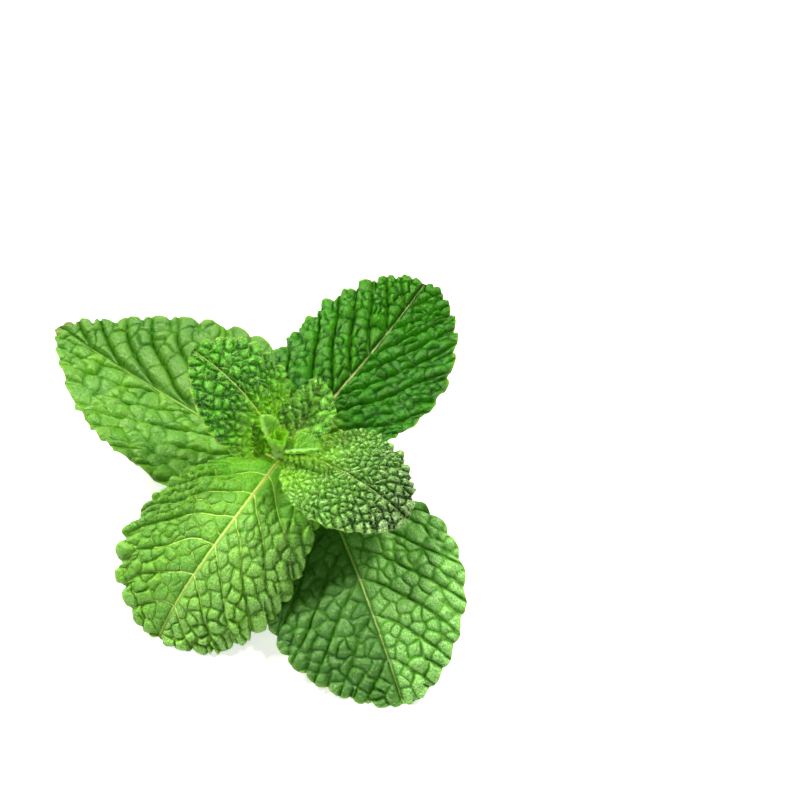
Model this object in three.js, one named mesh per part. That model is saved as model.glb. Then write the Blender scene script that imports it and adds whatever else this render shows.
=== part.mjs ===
// Mint sprig: the leafy top of a cut stem, lying on a surface.
// Millimetres and degrees, +Z up. The surface is z = 0, and the origin is under the middle of the
// sprig's box. The leaves stand in opposite pairs, each pair crosswise to the next.
import * as THREE from 'three';

// ---- blades ----
const BLADE_THICKNESS = 0.8;
const LEAST_THICKNESS = 0.65; // where a blade is pressed flat on the surface
const RIB_HALF_WIDTH = 0.8; // midrib, from its middle
const RIB_DEPTH = 0.7; // midrib below the blade, at the blade's base
const STALK_HALF_WIDTH = 0.8;
const STALK_CLEARANCE = 0.55; // between a leaf stalk and the stem
const STALK_ROWS = 2;
const VEIN_SPREAD = 0.15; // how far the lowest side veins spread out to the base
const VEIN_SPACING = 0.74; // below 1 the side veins stand closer near the base
const SWELL_ROUNDNESS = 0.7; // of the blade between two side veins, lower is rounder
const CHECKER = 0.4; // how much the swellings differ from one to the next
const TOOTH_CREST = 0.65; // where a tooth's crest is between its two notches
const LEAST_ROW_GAP = 0.15; // between a side vein's row and a tooth's, as a share of a tooth
const SPINE_STEPS = 60;

// ---- stem ----
// Centre points where the pairs of leaves grow, lowest first.
const NODE = {
  low: [6.6, 4.7, 12.2],
  middle: [0, 0, 26],
  upper: [-0.5, -2.3, 28.8],
  tip: [-0.3, -4.8, 31.6],
  crown: [-0.2, -6.1, 32.8],
};
// Centre line from the cut end to the bud, with the radius at each point.
const STEM_ROUTE = [
  { at: [6, 47, 1.5], radius: 1.7 },
  { at: [8.4, 37, 1.5], radius: 1.7 },
  { at: [9.8, 27, 1.7], radius: 1.65 },
  { at: [10, 17.5, 3.2], radius: 1.6 },
  { at: [9, 10, 6.6], radius: 1.55 },
  { at: NODE.low, radius: 1.5 },
  { at: [3.4, 2, 19], radius: 1.35 },
  { at: NODE.middle, radius: 1.2 },
  { at: NODE.upper, radius: 0.95 },
  { at: NODE.tip, radius: 0.75 },
  { at: NODE.crown, radius: 0.55 },
  { at: [0, -7.5, 34], radius: 0.3 },
];
const STEM_SIDES = 12;
const STEM_STEPS_PER_SPAN = 3;
const STEM_SQUARENESS = 0.07; // the stem is square with rounded corners
const SWELLING = 0.2; // of the stem at a node
const SWELLING_LENGTH = 1.6;

// ---- leaves ----
// azimuth is the stalk's heading from +X and rise its slope above level. droop, sweep and twist are
// what rise, azimuth and roll change by from the blade's base to its tip. Left and right are as
// seen from the base, looking to the tip with the upper face up. fold lifts a side at the midrib
// and curl bends it on by that angle out to the margin. stalk is measured from the stem's centre
// line, widest is a share of the length, and a lower fullness makes an end broader. teeth and veins
// are counted along one side. A higher sweepPower runs the side veins further forward, and arch,
// one for each side, bends them on the way. wave is the height of the margin's waves on each side,
// and waves their number.
const LEAVES = [
  {
    name: 'leaf_low_left', node: 'low', azimuth: 152, rise: 12, droop: -13, sweep: -14,
    roll: -14, twist: 23, length: 66, width: 40.4, stalk: 4, widest: 0.37, fullness: [0.42, 0.85],
    fold: [4, 16], curl: [12, 0], wave: [0.5, 0.4], waves: 3,
    teeth: 16, tooth: 1, veins: 8, sweepPower: 4, arch: [1.2, 0.65], columns: 7, swell: 0.8,
    colour: '#6aa83c',
  },
  {
    name: 'leaf_low_front', node: 'low', azimuth: -73, rise: 12, droop: -55.5, sweep: 7,
    roll: 6, twist: 12, length: 51, width: 39, stalk: 4, widest: 0.52, fullness: [0.6, 0.62],
    fold: [7, 1], curl: [3, -16], wave: [0.4, 0.5], waves: 3,
    teeth: 15, tooth: 1, veins: 7, sweepPower: 4, arch: [1.3, 1.3], columns: 7, swell: 1,
    colour: '#57933a',
  },
  {
    name: 'leaf_middle_front', node: 'middle', azimuth: 240, rise: -7, droop: -60, sweep: -33,
    roll: 13, twist: -52, length: 45, width: 36, stalk: 2.7, widest: 0.53, fullness: [0.15, 0.5],
    fold: [13, 0], curl: [-55, -24], wave: [0.3, 0.5], waves: 3,
    teeth: 14, tooth: 1, veins: 7, sweepPower: 4, arch: [1.15, 1.9], columns: 7, swell: 1,
    colour: '#77b437',
  },
  {
    name: 'leaf_middle_back', node: 'middle', azimuth: 47, rise: 18, droop: -14, sweep: 15,
    roll: 5, twist: 0, length: 47, width: 35, stalk: 3, widest: 0.45, fullness: [0.54, 0.57],
    fold: [13, 8], curl: [-45, -15], wave: [0.4, 0.5], waves: 3,
    teeth: 14, tooth: 1, veins: 8, sweepPower: 6, arch: [1.3, 1.3], columns: 7, swell: 1.2,
    colour: '#3f8624',
  },
  {
    name: 'leaf_upper_left', node: 'upper', azimuth: 156, rise: 74, droop: -59, sweep: -6,
    roll: -4, twist: 1, length: 26, width: 22.5, stalk: 2.4, widest: 0.44, fullness: [0.31, 0.67],
    fold: [2, 6], curl: [-15, -25], wave: [0.3, 0.3], waves: 3,
    teeth: 11, tooth: 0.6, veins: 7, sweepPower: 4, arch: [1.4, 1.4], columns: 5, swell: 0.4,
    colour: '#4f9130',
  },
  {
    name: 'leaf_upper_right', node: 'upper', azimuth: -37, rise: 26, droop: -71, sweep: 12,
    roll: -2, twist: 9, length: 28.9, width: 24.3, stalk: 3.7, widest: 0.47, fullness: [0.55, 0.59],
    fold: [1, 3], curl: [-15, -20], wave: [0.3, 0.3], waves: 3,
    teeth: 12, tooth: 0.6, veins: 7, sweepPower: 4, arch: [1.3, 1.3], columns: 5, swell: 0.7,
    colour: '#79b84a',
  },
  {
    name: 'leaf_tip_back', node: 'tip', azimuth: 39, rise: 28, droop: 26, sweep: 33,
    roll: 12, twist: 14, length: 14.5, width: 12, stalk: 2, widest: 0.47, fullness: [0.59, 0.8],
    fold: [33, 21], curl: [25, 4], wave: [0.2, 0.2], waves: 2,
    teeth: 8, tooth: 0.4, veins: 6, sweepPower: 4, arch: [1.3, 1.3], columns: 4, swell: 0.4,
    colour: '#62a530',
  },
  {
    name: 'leaf_tip_front', node: 'tip', azimuth: 158, rise: 64, droop: 14, sweep: 4,
    roll: -8, twist: -10, length: 5.8, width: 4.8, stalk: 3.1, widest: 0.5, fullness: [0.55, 0.7],
    fold: [32, 40], curl: [8, 14], wave: [0, 0], waves: 1,
    teeth: 6, tooth: 0.25, veins: 5, sweepPower: 4, arch: [1.3, 1.3], columns: 3, swell: 0.2,
    colour: '#86bf2a',
  },
  {
    name: 'leaf_crown_right', node: 'crown', azimuth: -27, rise: 30, droop: -1, sweep: 2,
    roll: 5, twist: 7, length: 8.6, width: 5.6, stalk: 2, widest: 0.5, fullness: [0.55, 0.69],
    fold: [45, 39], curl: [10, 4], wave: [0, 0], waves: 1,
    teeth: 6, tooth: 0.25, veins: 5, sweepPower: 4, arch: [1.3, 1.3], columns: 3, swell: 0.2,
    colour: '#7fb833',
  },
];

const radians = THREE.MathUtils.degToRad;
const mix = THREE.MathUtils.lerp;
const vector = (list) => new THREE.Vector3(...list);

// The way the midrib runs at a share x of its length, with the leaf's left and upward directions.
function heading(leaf, x) {
  const share = THREE.MathUtils.clamp(x, 0, 1);
  const azimuth = radians(leaf.azimuth + leaf.sweep * share);
  const rise = radians(leaf.rise + leaf.droop * share);
  const roll = radians(leaf.roll + leaf.twist * share);
  const along = new THREE.Vector3(
    Math.cos(rise) * Math.cos(azimuth), Math.cos(rise) * Math.sin(azimuth), Math.sin(rise));
  const level = new THREE.Vector3(-Math.sin(azimuth), Math.cos(azimuth), 0);
  const above = new THREE.Vector3().crossVectors(along, level);
  const left = level.clone().multiplyScalar(Math.cos(roll)).addScaledVector(above, Math.sin(roll));
  const up = above.clone().multiplyScalar(Math.cos(roll)).addScaledVector(level, -Math.sin(roll));
  return { along, left, up };
}

// Points along the midrib at equal shares of its length, summed from its headings.
function midrib(leaf) {
  const step = leaf.length / SPINE_STEPS;
  const points = [vector(NODE[leaf.node]).addScaledVector(heading(leaf, 0).along, leaf.stalk)];
  for (let i = 0; i < SPINE_STEPS; i += 1) {
    const { along } = heading(leaf, (i + 0.5) / SPINE_STEPS);
    points.push(points[i].clone().addScaledVector(along, step));
  }
  return points;
}

function pointOnMidrib(leaf, spine, x) {
  if (x <= 0) {
    return spine[0].clone().addScaledVector(heading(leaf, 0).along, x * leaf.length);
  }
  const place = Math.min(x, 1) * SPINE_STEPS;
  const i = Math.min(Math.floor(place), SPINE_STEPS - 1);
  return spine[i].clone().lerp(spine[i + 1], place - i);
}

// A point of the bent blade: x along the midrib, v across it (left is positive), lift off it.
function bladePoint(leaf, spine, x, v, lift) {
  const { left, up } = heading(leaf, x);
  const side = v < 0 ? 1 : 0;
  const outward = left.clone().multiplyScalar(v < 0 ? -1 : 1);
  const fold = radians(leaf.fold[side]);
  const bend = radians(leaf.curl[side]) / (leaf.width / 2);
  const reach = Math.abs(v);
  const turn = fold + bend * reach;
  const across = bend ? (Math.sin(turn) - Math.sin(fold)) / bend : reach * Math.cos(fold);
  const height = bend ? (Math.cos(fold) - Math.cos(turn)) / bend : reach * Math.sin(fold);
  const tilt = reach > 0 ? turn : 0;
  return pointOnMidrib(leaf, spine, x)
    .addScaledVector(outward, across - lift * Math.sin(tilt))
    .addScaledVector(up, height + lift * Math.cos(tilt));
}

function halfWidth(leaf, x) {
  const share = THREE.MathUtils.clamp(x, 0, 1);
  const power = Math.log(0.5) / Math.log(leaf.widest);
  const fullness = mix(leaf.fullness[0], leaf.fullness[1], share);
  return (leaf.width / 2) * Math.max(Math.sin(Math.PI * share ** power), 0) ** fullness;
}

// The share of the length at t, which runs from the base, 0, to the tip, 1, slowly at both ends.
const lengthShare = (t) => (1 - Math.cos(Math.PI * t)) / 2;

// Where the side vein that ends beside the share s of the length leaves the midrib.
const veinOrigin = (leaf, s) => VEIN_SPREAD * s + (1 - VEIN_SPREAD) * s ** leaf.sweepPower;

// Side veins are counted from the base. A whole number is a vein.
const veinCount = (leaf, s) => leaf.veins * veinOrigin(leaf, s) ** VEIN_SPACING;

// The toothed margin on the flat blade at t.
function margin(leaf, t) {
  const x = lengthShare(t);
  const part = (t * leaf.teeth) % 1;
  const crest = part < TOOTH_CREST ? part / TOOTH_CREST : (1 - part) / (1 - TOOTH_CREST);
  const out = leaf.tooth * crest * Math.sqrt(Math.sin(Math.PI * t));
  const step = 0.01;
  const slope = (halfWidth(leaf, x + step) - halfWidth(leaf, x - step)) / (2 * step * leaf.length);
  const lean = Math.atan(slope);
  return {
    x: x - (out * Math.sin(lean)) / leaf.length,
    v: Math.max(halfWidth(leaf, x) + out * Math.cos(lean), STALK_HALF_WIDTH),
  };
}

// How far the blade swells up at t and at a share f of the way out to the margin. It is lowest
// on the side veins, and the swellings beside each other differ in height like a checker board.
function swelling(leaf, t, f, column) {
  const count = veinCount(leaf, lengthShare(t));
  const between = Math.abs(Math.sin(Math.PI * count)) ** SWELL_ROUNDNESS;
  const checker = 1 + CHECKER * (-1) ** (Math.floor(count) + column);
  const ends = Math.sin(Math.PI * t) ** 0.4;
  return leaf.swell * between * checker * ends * (1 - f ** 4);
}

// One row of the blade from its right margin to its left one, as pairs of points on both faces.
function bladeRow(leaf, spine, t) {
  const edge = margin(leaf, t);
  const middleX = veinOrigin(leaf, lengthShare(t));
  const inner = Math.min(RIB_HALF_WIDTH, edge.v / 2);
  const rib = RIB_DEPTH * (1 - 0.7 * t) * Math.min(leaf.length / 40, 1);
  const row = [];
  for (let column = -leaf.columns; column <= leaf.columns; column += 1) {
    const count = Math.abs(column);
    const out = (count - 1) / (leaf.columns - 1);
    const v = count === 0 ? 0 : mix(inner, edge.v, out);
    const f = v / edge.v;
    const side = column < 0 ? 1 : 0;
    const x = mix(middleX, edge.x, f ** leaf.arch[side]);
    const wave = leaf.wave[side] * f ** 2 * Math.sin(2 * Math.PI * (leaf.waves * t + side / 4))
      * Math.sin(Math.PI * t);
    const swell = count > 1 ? swelling(leaf, t, f, count) : 0;
    const depth = BLADE_THICKNESS + (count === 0 ? rib : 0);
    const signed = column < 0 ? -v : v;
    row.push(restOnSurface(
      bladePoint(leaf, spine, x, signed, swell + wave),
      bladePoint(leaf, spine, x, signed, swell + wave - depth)));
  }
  return row;
}

// A row of the stalk, which carries the midrib back to the stem at a distance s before the blade.
function stalkRow(leaf, spine, s) {
  const row = [];
  for (let column = -leaf.columns; column <= leaf.columns; column += 1) {
    const v = (STALK_HALF_WIDTH * column) / leaf.columns;
    const rib = RIB_DEPTH * (1 - Math.abs(column) / leaf.columns) * Math.min(leaf.length / 40, 1);
    row.push({
      top: bladePoint(leaf, spine, -s / leaf.length, v, 0),
      bottom: bladePoint(leaf, spine, -s / leaf.length, v, -BLADE_THICKNESS - rib),
    });
  }
  return row;
}

function restOnSurface(top, bottom) {
  bottom.z = Math.max(bottom.z, 0);
  top.z = Math.max(top.z, bottom.z + LEAST_THICKNESS);
  return { top, bottom };
}

// Closes rows of point pairs into one shell. The last row is a single pair, the tip.
function shell(rows, tip) {
  const positions = [];
  const rim = rows[0].length;
  for (const face of ['top', 'bottom']) {
    for (const row of rows) {
      for (const pair of row) positions.push(...pair[face].toArray());
    }
    positions.push(...tip[face].toArray());
  }
  const perFace = rows.length * rim + 1;
  const top = (i, j) => (i < rows.length ? i * rim + j : rows.length * rim);
  const bottom = (i, j) => perFace + top(i, j);
  const index = [];
  const quad = (a, b, c, d) => {
    if (a !== b && b !== c && a !== c) index.push(a, b, c);
    if (a !== c && c !== d && a !== d) index.push(a, c, d);
  };
  for (let i = 0; i < rows.length; i += 1) {
    for (let j = 0; j + 1 < rim; j += 1) {
      quad(top(i, j), top(i + 1, j), top(i + 1, j + 1), top(i, j + 1));
      quad(bottom(i + 1, j + 1), bottom(i + 1, j), bottom(i, j), bottom(i, j + 1));
    }
    const last = rim - 1;
    quad(bottom(i, last), top(i, last), top(i + 1, last), bottom(i + 1, last));
    quad(bottom(i, 0), bottom(i + 1, 0), top(i + 1, 0), top(i, 0));
  }
  for (let j = 0; j + 1 < rim; j += 1) {
    quad(top(0, j), top(0, j + 1), bottom(0, j + 1), bottom(0, j));
  }
  return closedGeometry(positions, index);
}

function closedGeometry(positions, index) {
  const geometry = new THREE.BufferGeometry();
  geometry.setAttribute('position', new THREE.Float32BufferAttribute(positions, 3));
  geometry.setIndex(index);
  geometry.computeVertexNormals();
  return geometry;
}

// Where the blade's rows lie: at each tooth's notch and crest, on each side vein and half way
// between two of them.
function rowPlaces(leaf) {
  const places = [];
  for (let tooth = 0; tooth < leaf.teeth; tooth += 1) {
    if (tooth > 0) places.push(tooth / leaf.teeth);
    places.push((tooth + TOOTH_CREST) / leaf.teeth);
  }
  const last = places[places.length - 1];
  for (let count = 0.5; count < leaf.veins; count += 0.5) {
    const t = placeOfVein(leaf, count);
    const gap = Math.min(...places.map((place) => Math.abs(place - t)));
    if (gap * leaf.teeth > LEAST_ROW_GAP && t > places[0] && t < last) places.push(t);
  }
  return places.sort((a, b) => a - b);
}

// The t at which the side veins have come to a count, by halving.
function placeOfVein(leaf, count) {
  let low = 0;
  let high = 1;
  for (let i = 0; i < 40; i += 1) {
    const t = (low + high) / 2;
    if (veinCount(leaf, lengthShare(t)) < count) low = t;
    else high = t;
  }
  return low;
}

// A leaf: stalk, then the blade's rows, then the tip.
function leafGeometry(leaf) {
  const spine = midrib(leaf);
  const start = leaf.stalk - clearOfStem(leaf);
  const rows = [];
  for (let i = 0; i < STALK_ROWS; i += 1) {
    rows.push(stalkRow(leaf, spine, start * (1 - i / STALK_ROWS)));
  }
  for (const t of rowPlaces(leaf)) rows.push(bladeRow(leaf, spine, t));
  const tip = restOnSurface(
    bladePoint(leaf, spine, 1, 0, 0), bladePoint(leaf, spine, 1, 0, -BLADE_THICKNESS));
  return shell(rows, tip);
}

// How far along the leaf's stalk from the stem's centre line it comes clear of the stem.
function clearOfStem(leaf) {
  const place = STEM_ROUTE.findIndex((stop) => stop.at === NODE[leaf.node]);
  const below = vector(STEM_ROUTE[place - 1].at);
  const above = vector(STEM_ROUTE[place + 1].at);
  const axis = above.sub(below).normalize();
  const skin = STEM_ROUTE[place].radius * (1 + SWELLING) * (1 + STEM_SQUARENESS);
  return (skin + STALK_CLEARANCE) / Math.sin(axis.angleTo(heading(leaf, 0).along));
}

// The stem: a rounded square carried along the route, swollen at the nodes, flat where it lies.
function stemGeometry() {
  const route = new THREE.CatmullRomCurve3(
    STEM_ROUTE.map((stop) => vector(stop.at)), false, 'catmullrom', 0.5);
  const spans = STEM_ROUTE.length - 1;
  const steps = spans * STEM_STEPS_PER_SPAN;
  const nodes = Object.values(NODE).map(vector);
  const side = new THREE.Vector3(1, 0, 0);
  const positions = [];
  for (let i = 0; i <= steps; i += 1) {
    const centre = route.getPoint(i / steps);
    const along = route.getTangent(i / steps);
    side.addScaledVector(along, -side.dot(along)).normalize();
    const up = new THREE.Vector3().crossVectors(side, along);
    const span = Math.min(Math.floor(i / STEM_STEPS_PER_SPAN), spans - 1);
    const part = i / STEM_STEPS_PER_SPAN - span;
    const plain = mix(STEM_ROUTE[span].radius, STEM_ROUTE[span + 1].radius, part);
    const nearest = Math.min(...nodes.map((node) => node.distanceTo(centre)));
    const radius = plain * (1 + SWELLING * Math.exp(-((nearest / SWELLING_LENGTH) ** 2)));
    for (let k = 0; k < STEM_SIDES; k += 1) {
      const angle = ((k + 0.5) * 2 * Math.PI) / STEM_SIDES;
      const reach = radius * (1 - STEM_SQUARENESS * Math.cos(4 * angle));
      const point = centre.clone()
        .addScaledVector(side, reach * Math.cos(angle))
        .addScaledVector(up, reach * Math.sin(angle));
      point.z = Math.max(point.z, 0);
      positions.push(...point.toArray());
    }
  }
  const index = [];
  for (let i = 0; i < steps; i += 1) {
    for (let k = 0; k < STEM_SIDES; k += 1) {
      const a = i * STEM_SIDES + k;
      const b = i * STEM_SIDES + ((k + 1) % STEM_SIDES);
      index.push(a, a + STEM_SIDES, b + STEM_SIDES, a, b + STEM_SIDES, b);
    }
  }
  const lastRing = steps * STEM_SIDES;
  for (let k = 1; k + 1 < STEM_SIDES; k += 1) {
    index.push(0, k, k + 1);
    index.push(lastRing, lastRing + k + 1, lastRing + k);
  }
  return closedGeometry(positions, index);
}

function piece(name, geometry, colour, roughness) {
  const material = new THREE.MeshStandardMaterial({ color: colour, roughness, metalness: 0 });
  const mesh = new THREE.Mesh(geometry, material);
  mesh.name = name;
  return mesh;
}

const sprig = new THREE.Group();
sprig.add(piece('stem', stemGeometry(), '#8db53c', 0.5));
for (const leaf of LEAVES) {
  sprig.add(piece(leaf.name, leafGeometry(leaf), leaf.colour, 0.55));
}

// The origin goes under the middle of the box, on the surface.
const box = new THREE.Box3().setFromObject(sprig);
const middle = box.getCenter(new THREE.Vector3());
sprig.position.set(-middle.x, -middle.y, -box.min.z);

export default sprig;
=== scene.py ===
"""Mint sprig: the finished leaves, stem, bud and hairs of a cut sprig lying on a surface.

The shapes are worked out in millimetres from the middle node of the stem and put into Blender in
metres. Left and right of a leaf are as seen from its base, looking to its tip, upper face up.
"""

import math
from types import SimpleNamespace

import bpy
import numpy as np
from bpy.props import FloatProperty, FloatVectorProperty, IntProperty, PointerProperty
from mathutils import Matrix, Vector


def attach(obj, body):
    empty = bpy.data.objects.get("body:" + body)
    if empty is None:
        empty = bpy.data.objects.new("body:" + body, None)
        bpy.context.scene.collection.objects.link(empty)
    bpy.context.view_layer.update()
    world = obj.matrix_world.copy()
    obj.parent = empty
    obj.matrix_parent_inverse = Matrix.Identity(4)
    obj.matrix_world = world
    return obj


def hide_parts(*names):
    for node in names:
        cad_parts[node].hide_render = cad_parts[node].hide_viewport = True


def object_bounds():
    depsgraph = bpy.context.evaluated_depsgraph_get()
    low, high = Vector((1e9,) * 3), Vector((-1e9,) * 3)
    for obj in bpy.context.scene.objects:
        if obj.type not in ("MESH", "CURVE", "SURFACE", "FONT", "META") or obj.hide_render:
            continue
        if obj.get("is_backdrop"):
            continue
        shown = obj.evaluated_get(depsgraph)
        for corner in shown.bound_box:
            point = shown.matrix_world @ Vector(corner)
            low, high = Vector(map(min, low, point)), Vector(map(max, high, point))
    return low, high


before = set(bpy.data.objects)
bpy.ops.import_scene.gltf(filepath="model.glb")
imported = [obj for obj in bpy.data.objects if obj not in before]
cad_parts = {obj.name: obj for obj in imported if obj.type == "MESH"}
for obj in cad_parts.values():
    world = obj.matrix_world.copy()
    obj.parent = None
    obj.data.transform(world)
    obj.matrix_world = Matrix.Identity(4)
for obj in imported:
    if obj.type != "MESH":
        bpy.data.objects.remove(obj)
CAD_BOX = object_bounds()

bl_info = {
    "name": "Mint Sprig",
    "version": (1, 0, 0),
    "blender": (4, 5, 0),
    "location": "View3D > Sidebar > Mint",
    "description": "Quilted, toothed and hairy leaves on a square stem, as a cut sprig of mint",
    "category": "Object",
}

MM = 0.001
MIDDLE_NODE = np.array([7.299, -1.877, 26.0])  # where the node "middle" is in the frame, in mm

# Centre points where the leaves grow, in millimetres and lowest first.
NODE = {
    "low": (6.6, 4.7, 12.2),
    "middle": (0.0, 0.0, 26.0),
    "upper": (-0.5, -2.3, 28.8),
    "tip": (-0.3, -4.8, 31.6),
    "crown": (-0.2, -6.1, 32.8),
}
# Centre line of the stem from the cut end to the bud: place, radius.
STEM_ROUTE = (
    ((6, 47, 1.5), 1.7),
    ((8.4, 37, 1.5), 1.7),
    ((9.8, 27, 1.7), 1.65),
    ((10, 17.5, 3.2), 1.6),
    ((9, 10, 6.6), 1.55),
    (NODE["low"], 1.5),
    ((3.4, 2, 19), 1.35),
    (NODE["middle"], 1.2),
    (NODE["upper"], 0.95),
    (NODE["tip"], 0.75),
    (NODE["crown"], 0.55),
    ((0, -7.5, 34), 0.3),
)

STEM_SQUARENESS = 0.07  # the stem is square with rounded corners
SWELLING = 0.2  # of the stem at a node
SWELLING_LENGTH = 1.6

VEIN_SPREAD = 0.15  # how far the lowest side veins spread out to the base
VEIN_SPACING = 0.74  # below 1 the side veins stand closer near the base
ARCH_START = 0.05  # keeps a side vein's bend gentle at the midrib
TOOTH_CREST = 0.65  # share of a tooth's length at which it stands out furthest
SPINE_STEPS = 240
STALK_HALF = 0.95  # half the width of a large leaf's stalk
MIDRIB_DEPTH = 1.05  # of a large leaf's midrib under the blade, at its base
LEAST_THICKNESS = 0.28  # where a blade is pressed flat on the surface
TIP_THICKNESS = 0.2
SHARP_ANGLE = 75  # degrees; a sharper edge isn't smoothed

HAIR_THINNESS = 0.07  # radius at the root as a share of the hairs' length
HAIR_LEAN = (0, -0.1, 0.15)
HAIR_SEED = 900

FLOOR_HALF = 3.0  # metres
# Lights: name, place from the middle node in metres, size in metres, power in watts.
LIGHTS = (
    ("left", (-0.48, 0.24, 0.7), 0.3, 13.5),
    ("right", (0.42, 0.05, 0.65), 0.12, 6.5),
    ("front", (-0.15, -0.5, 0.6), 0.5, 1.0),
)
LIGHT_COLOUR = (1.0, 1.0, 0.78)
CAMERA_PLACE = np.array([23.4, -306.6, 321.3])  # millimetres from the middle node
CAMERA_TILT = 45  # degrees up from straight down
FOCAL_LENGTH = 100


def leaf_form(name, node, azimuth, rise, droop, sweep, roll, twist, length, width, stalk, widest,
              fullness, fold, curl, wave, waves, teeth, tooth, veins, sweep_power, arch, cell,
              pucker, swell, valley, crease, grain, smooth_base=0.0, smooth_inner=0.0,
              crowd=0.0, wander=0.11):
    """One leaf's form. azimuth and rise aim its stalk; droop, sweep and twist are what rise,
    azimuth and roll change by along the blade. fold lifts each half at the midrib and curl bends
    it on to the margin. sweep_power sweeps the side veins forward and arch bends them on the
    way. cell is the size of a pucker, pucker its height, crease how wide its sloping rim is,
    swell the height of the blade between two side veins, valley the depth of a side vein's
    groove, and grain the spacing of the mesh, all in millimetres. smooth_base and smooth_inner
    are shares of the blade, at its base and along the midrib, that are less puckered. crowd
    makes the puckers smaller towards the base, and wander bends the side veins by chance. A
    pair is for the left and the right half, and one number for both."""
    return SimpleNamespace(**locals())


LEAVES = {
    form.name: form
    for form in (
        leaf_form(
            "leaf_low_left", "low", 152, 12, -13, -14, -14, 23, 66, 40.4, 4, 0.37, (0.42, 0.85),
            (4, 16), (12, 0), (0.5, 0.4), 3, 16, 1.0, 8, 4, (1.2, 0.5), 3.5, (1.3, 1.1),
            swell=(0.3, 1.0), valley=(0.3, 0.8), crease=0.75, grain=0.29, smooth_base=0.15,
            smooth_inner=(0.1, 0.5)),
        leaf_form(
            "leaf_low_front", "low", -73, 12, -55.5, 7, 6, 12, 51, 39, 4, 0.52, (0.6, 0.62),
            (7, 1), (3, -16), (0.4, 0.5), 3, 15, 1.0, 7, 4, 1.3, 2.8, (1.45, 1.3),
            swell=(0.5, 0.4), valley=(0.4, 0.3), crease=0.62, grain=0.265, smooth_inner=(0.3, 0.2)),
        leaf_form(
            "leaf_middle_front", "middle", 240, -7, -60, -33, 13, -52, 45, 36, 2.7, 0.53,
            (0.15, 0.5), (13, 0), (-55, -24), (0.3, 0.5), 3, 14, 1.0, 7, 4, (1.15, 1.9), 2.6,
            (1.5, 1.45), swell=(0.3, 0.4), valley=(0.25, 0.2), crease=0.58, grain=0.25,
            smooth_base=0.15, smooth_inner=(0.3, 0.45)),
        leaf_form(
            "leaf_middle_back", "middle", 47, 18, -14, 15, 5, 0, 47, 35, 3, 0.45, (0.54, 0.57),
            (13, 8), (-45, -15), (0.4, 0.5), 3, 14, 1.0, 8, 6, 1.3, 2.2, (1.5, 1.4),
            swell=(0.7, 0.5), valley=(0.6, 0.5), crease=0.6, grain=0.255),
        leaf_form(
            "leaf_upper_left", "upper", 156, 74, -59, -6, -4, 1, 26, 22.5, 2.4, 0.44, (0.31, 0.67),
            (2, 6), (-15, -25), 0.3, 3, 11, 0.6, 7, 4, 1.4, 2.4, 1.15, swell=0.1, valley=0.05,
            crease=0.85, grain=0.165, crowd=0.9, wander=0.3),
        leaf_form(
            "leaf_upper_right", "upper", -37, 26, -71, 12, -2, 9, 28.9, 24.3, 3.7, 0.47,
            (0.55, 0.59), (1, 3), (-15, -20), 0.3, 3, 12, 0.6, 7, 4, 1.3, 2.4, 1.3, swell=0.1,
            valley=0.05, crease=0.75, grain=0.17, crowd=1.5, wander=0.25),
        leaf_form(
            "leaf_tip_back", "tip", 39, 28, 26, 33, 12, 14, 14.5, 12, 2, 0.47, (0.59, 0.8),
            (33, 21), (25, 4), 0.2, 2, 8, 0.4, 6, 4, 1.3, 2.1, 1.3, swell=0.1, valley=0.04,
            crease=0.6, grain=0.115, wander=0.2),
        leaf_form(
            "leaf_tip_front", "tip", 158, 64, 14, 4, -8, -10, 5.8, 4.8, 3.1, 0.5, (0.55, 0.7),
            (32, 40), (8, 14), 0, 1, 6, 0.25, 5, 4, 1.3, 0.85, 0.2, swell=0.1, valley=0.06,
            crease=0.35, grain=0.085),
        leaf_form(
            "leaf_crown_right", "crown", -27, 30, -1, 2, 5, 7, 8.6, 5.6, 2, 0.5, (0.55, 0.69),
            (45, 39), (10, 4), 0, 1, 6, 0.25, 5, 4, 1.3, 0.85, 0.2, swell=0.1, valley=0.06,
            crease=0.35, grain=0.085),
    )
}


# ---- small sums ----


def mix(a, b, share):
    """a + (b - a) * share."""
    return a + (b - a) * share


def pair(value):
    """One number stands for both halves of a leaf."""
    return value if isinstance(value, tuple) else (value, value)


def smooth(low, high, value):
    """0 below low, 1 above high, and 3u^2 - 2u^3 between, u being the share of the way."""
    u = np.clip((value - low) / (high - low), 0, 1)
    return u * u * (3 - 2 * u)


def blur(grid, passes):
    """Each value becomes a quarter of each row neighbour and half of itself, then the same
    along the columns."""
    for _ in range(passes):
        for axis in (0, 1):
            lines = np.moveaxis(np.pad(grid, [(1, 1) if a == axis else (0, 0) for a in (0, 1)],
                                       mode="edge"), axis, 0)
            grid = np.moveaxis((lines[:-2] + 2 * lines[1:-1] + lines[2:]) / 4, 0, axis)
    return grid


def ripple(x, v, size, random):
    """Uneven waves of about this size: the mean of eight sines in chance directions, times 2."""
    total = 0 * x
    for turn, shift, pace in random.random((8, 3)):
        way = 2 * np.pi * turn
        step = 2 * np.pi * (0.6 + 0.8 * pace) / size
        total = total + np.sin(step * (x * np.cos(way) + v * np.sin(way)) + 2 * np.pi * shift)
    return total / 4


def linear(hex_colour):
    """A screen colour such as 6aa83c as linear red, green, blue: ((c + 0.055) / 1.055) ^ 2.4."""
    screen = np.array([int(hex_colour[i:i + 2], 16) / 255 for i in (0, 2, 4)])
    return tuple(np.where(screen <= 0.04045, screen / 12.92, ((screen + 0.055) / 1.055) ** 2.4))


# ---- the blade as a surface ----


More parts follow.
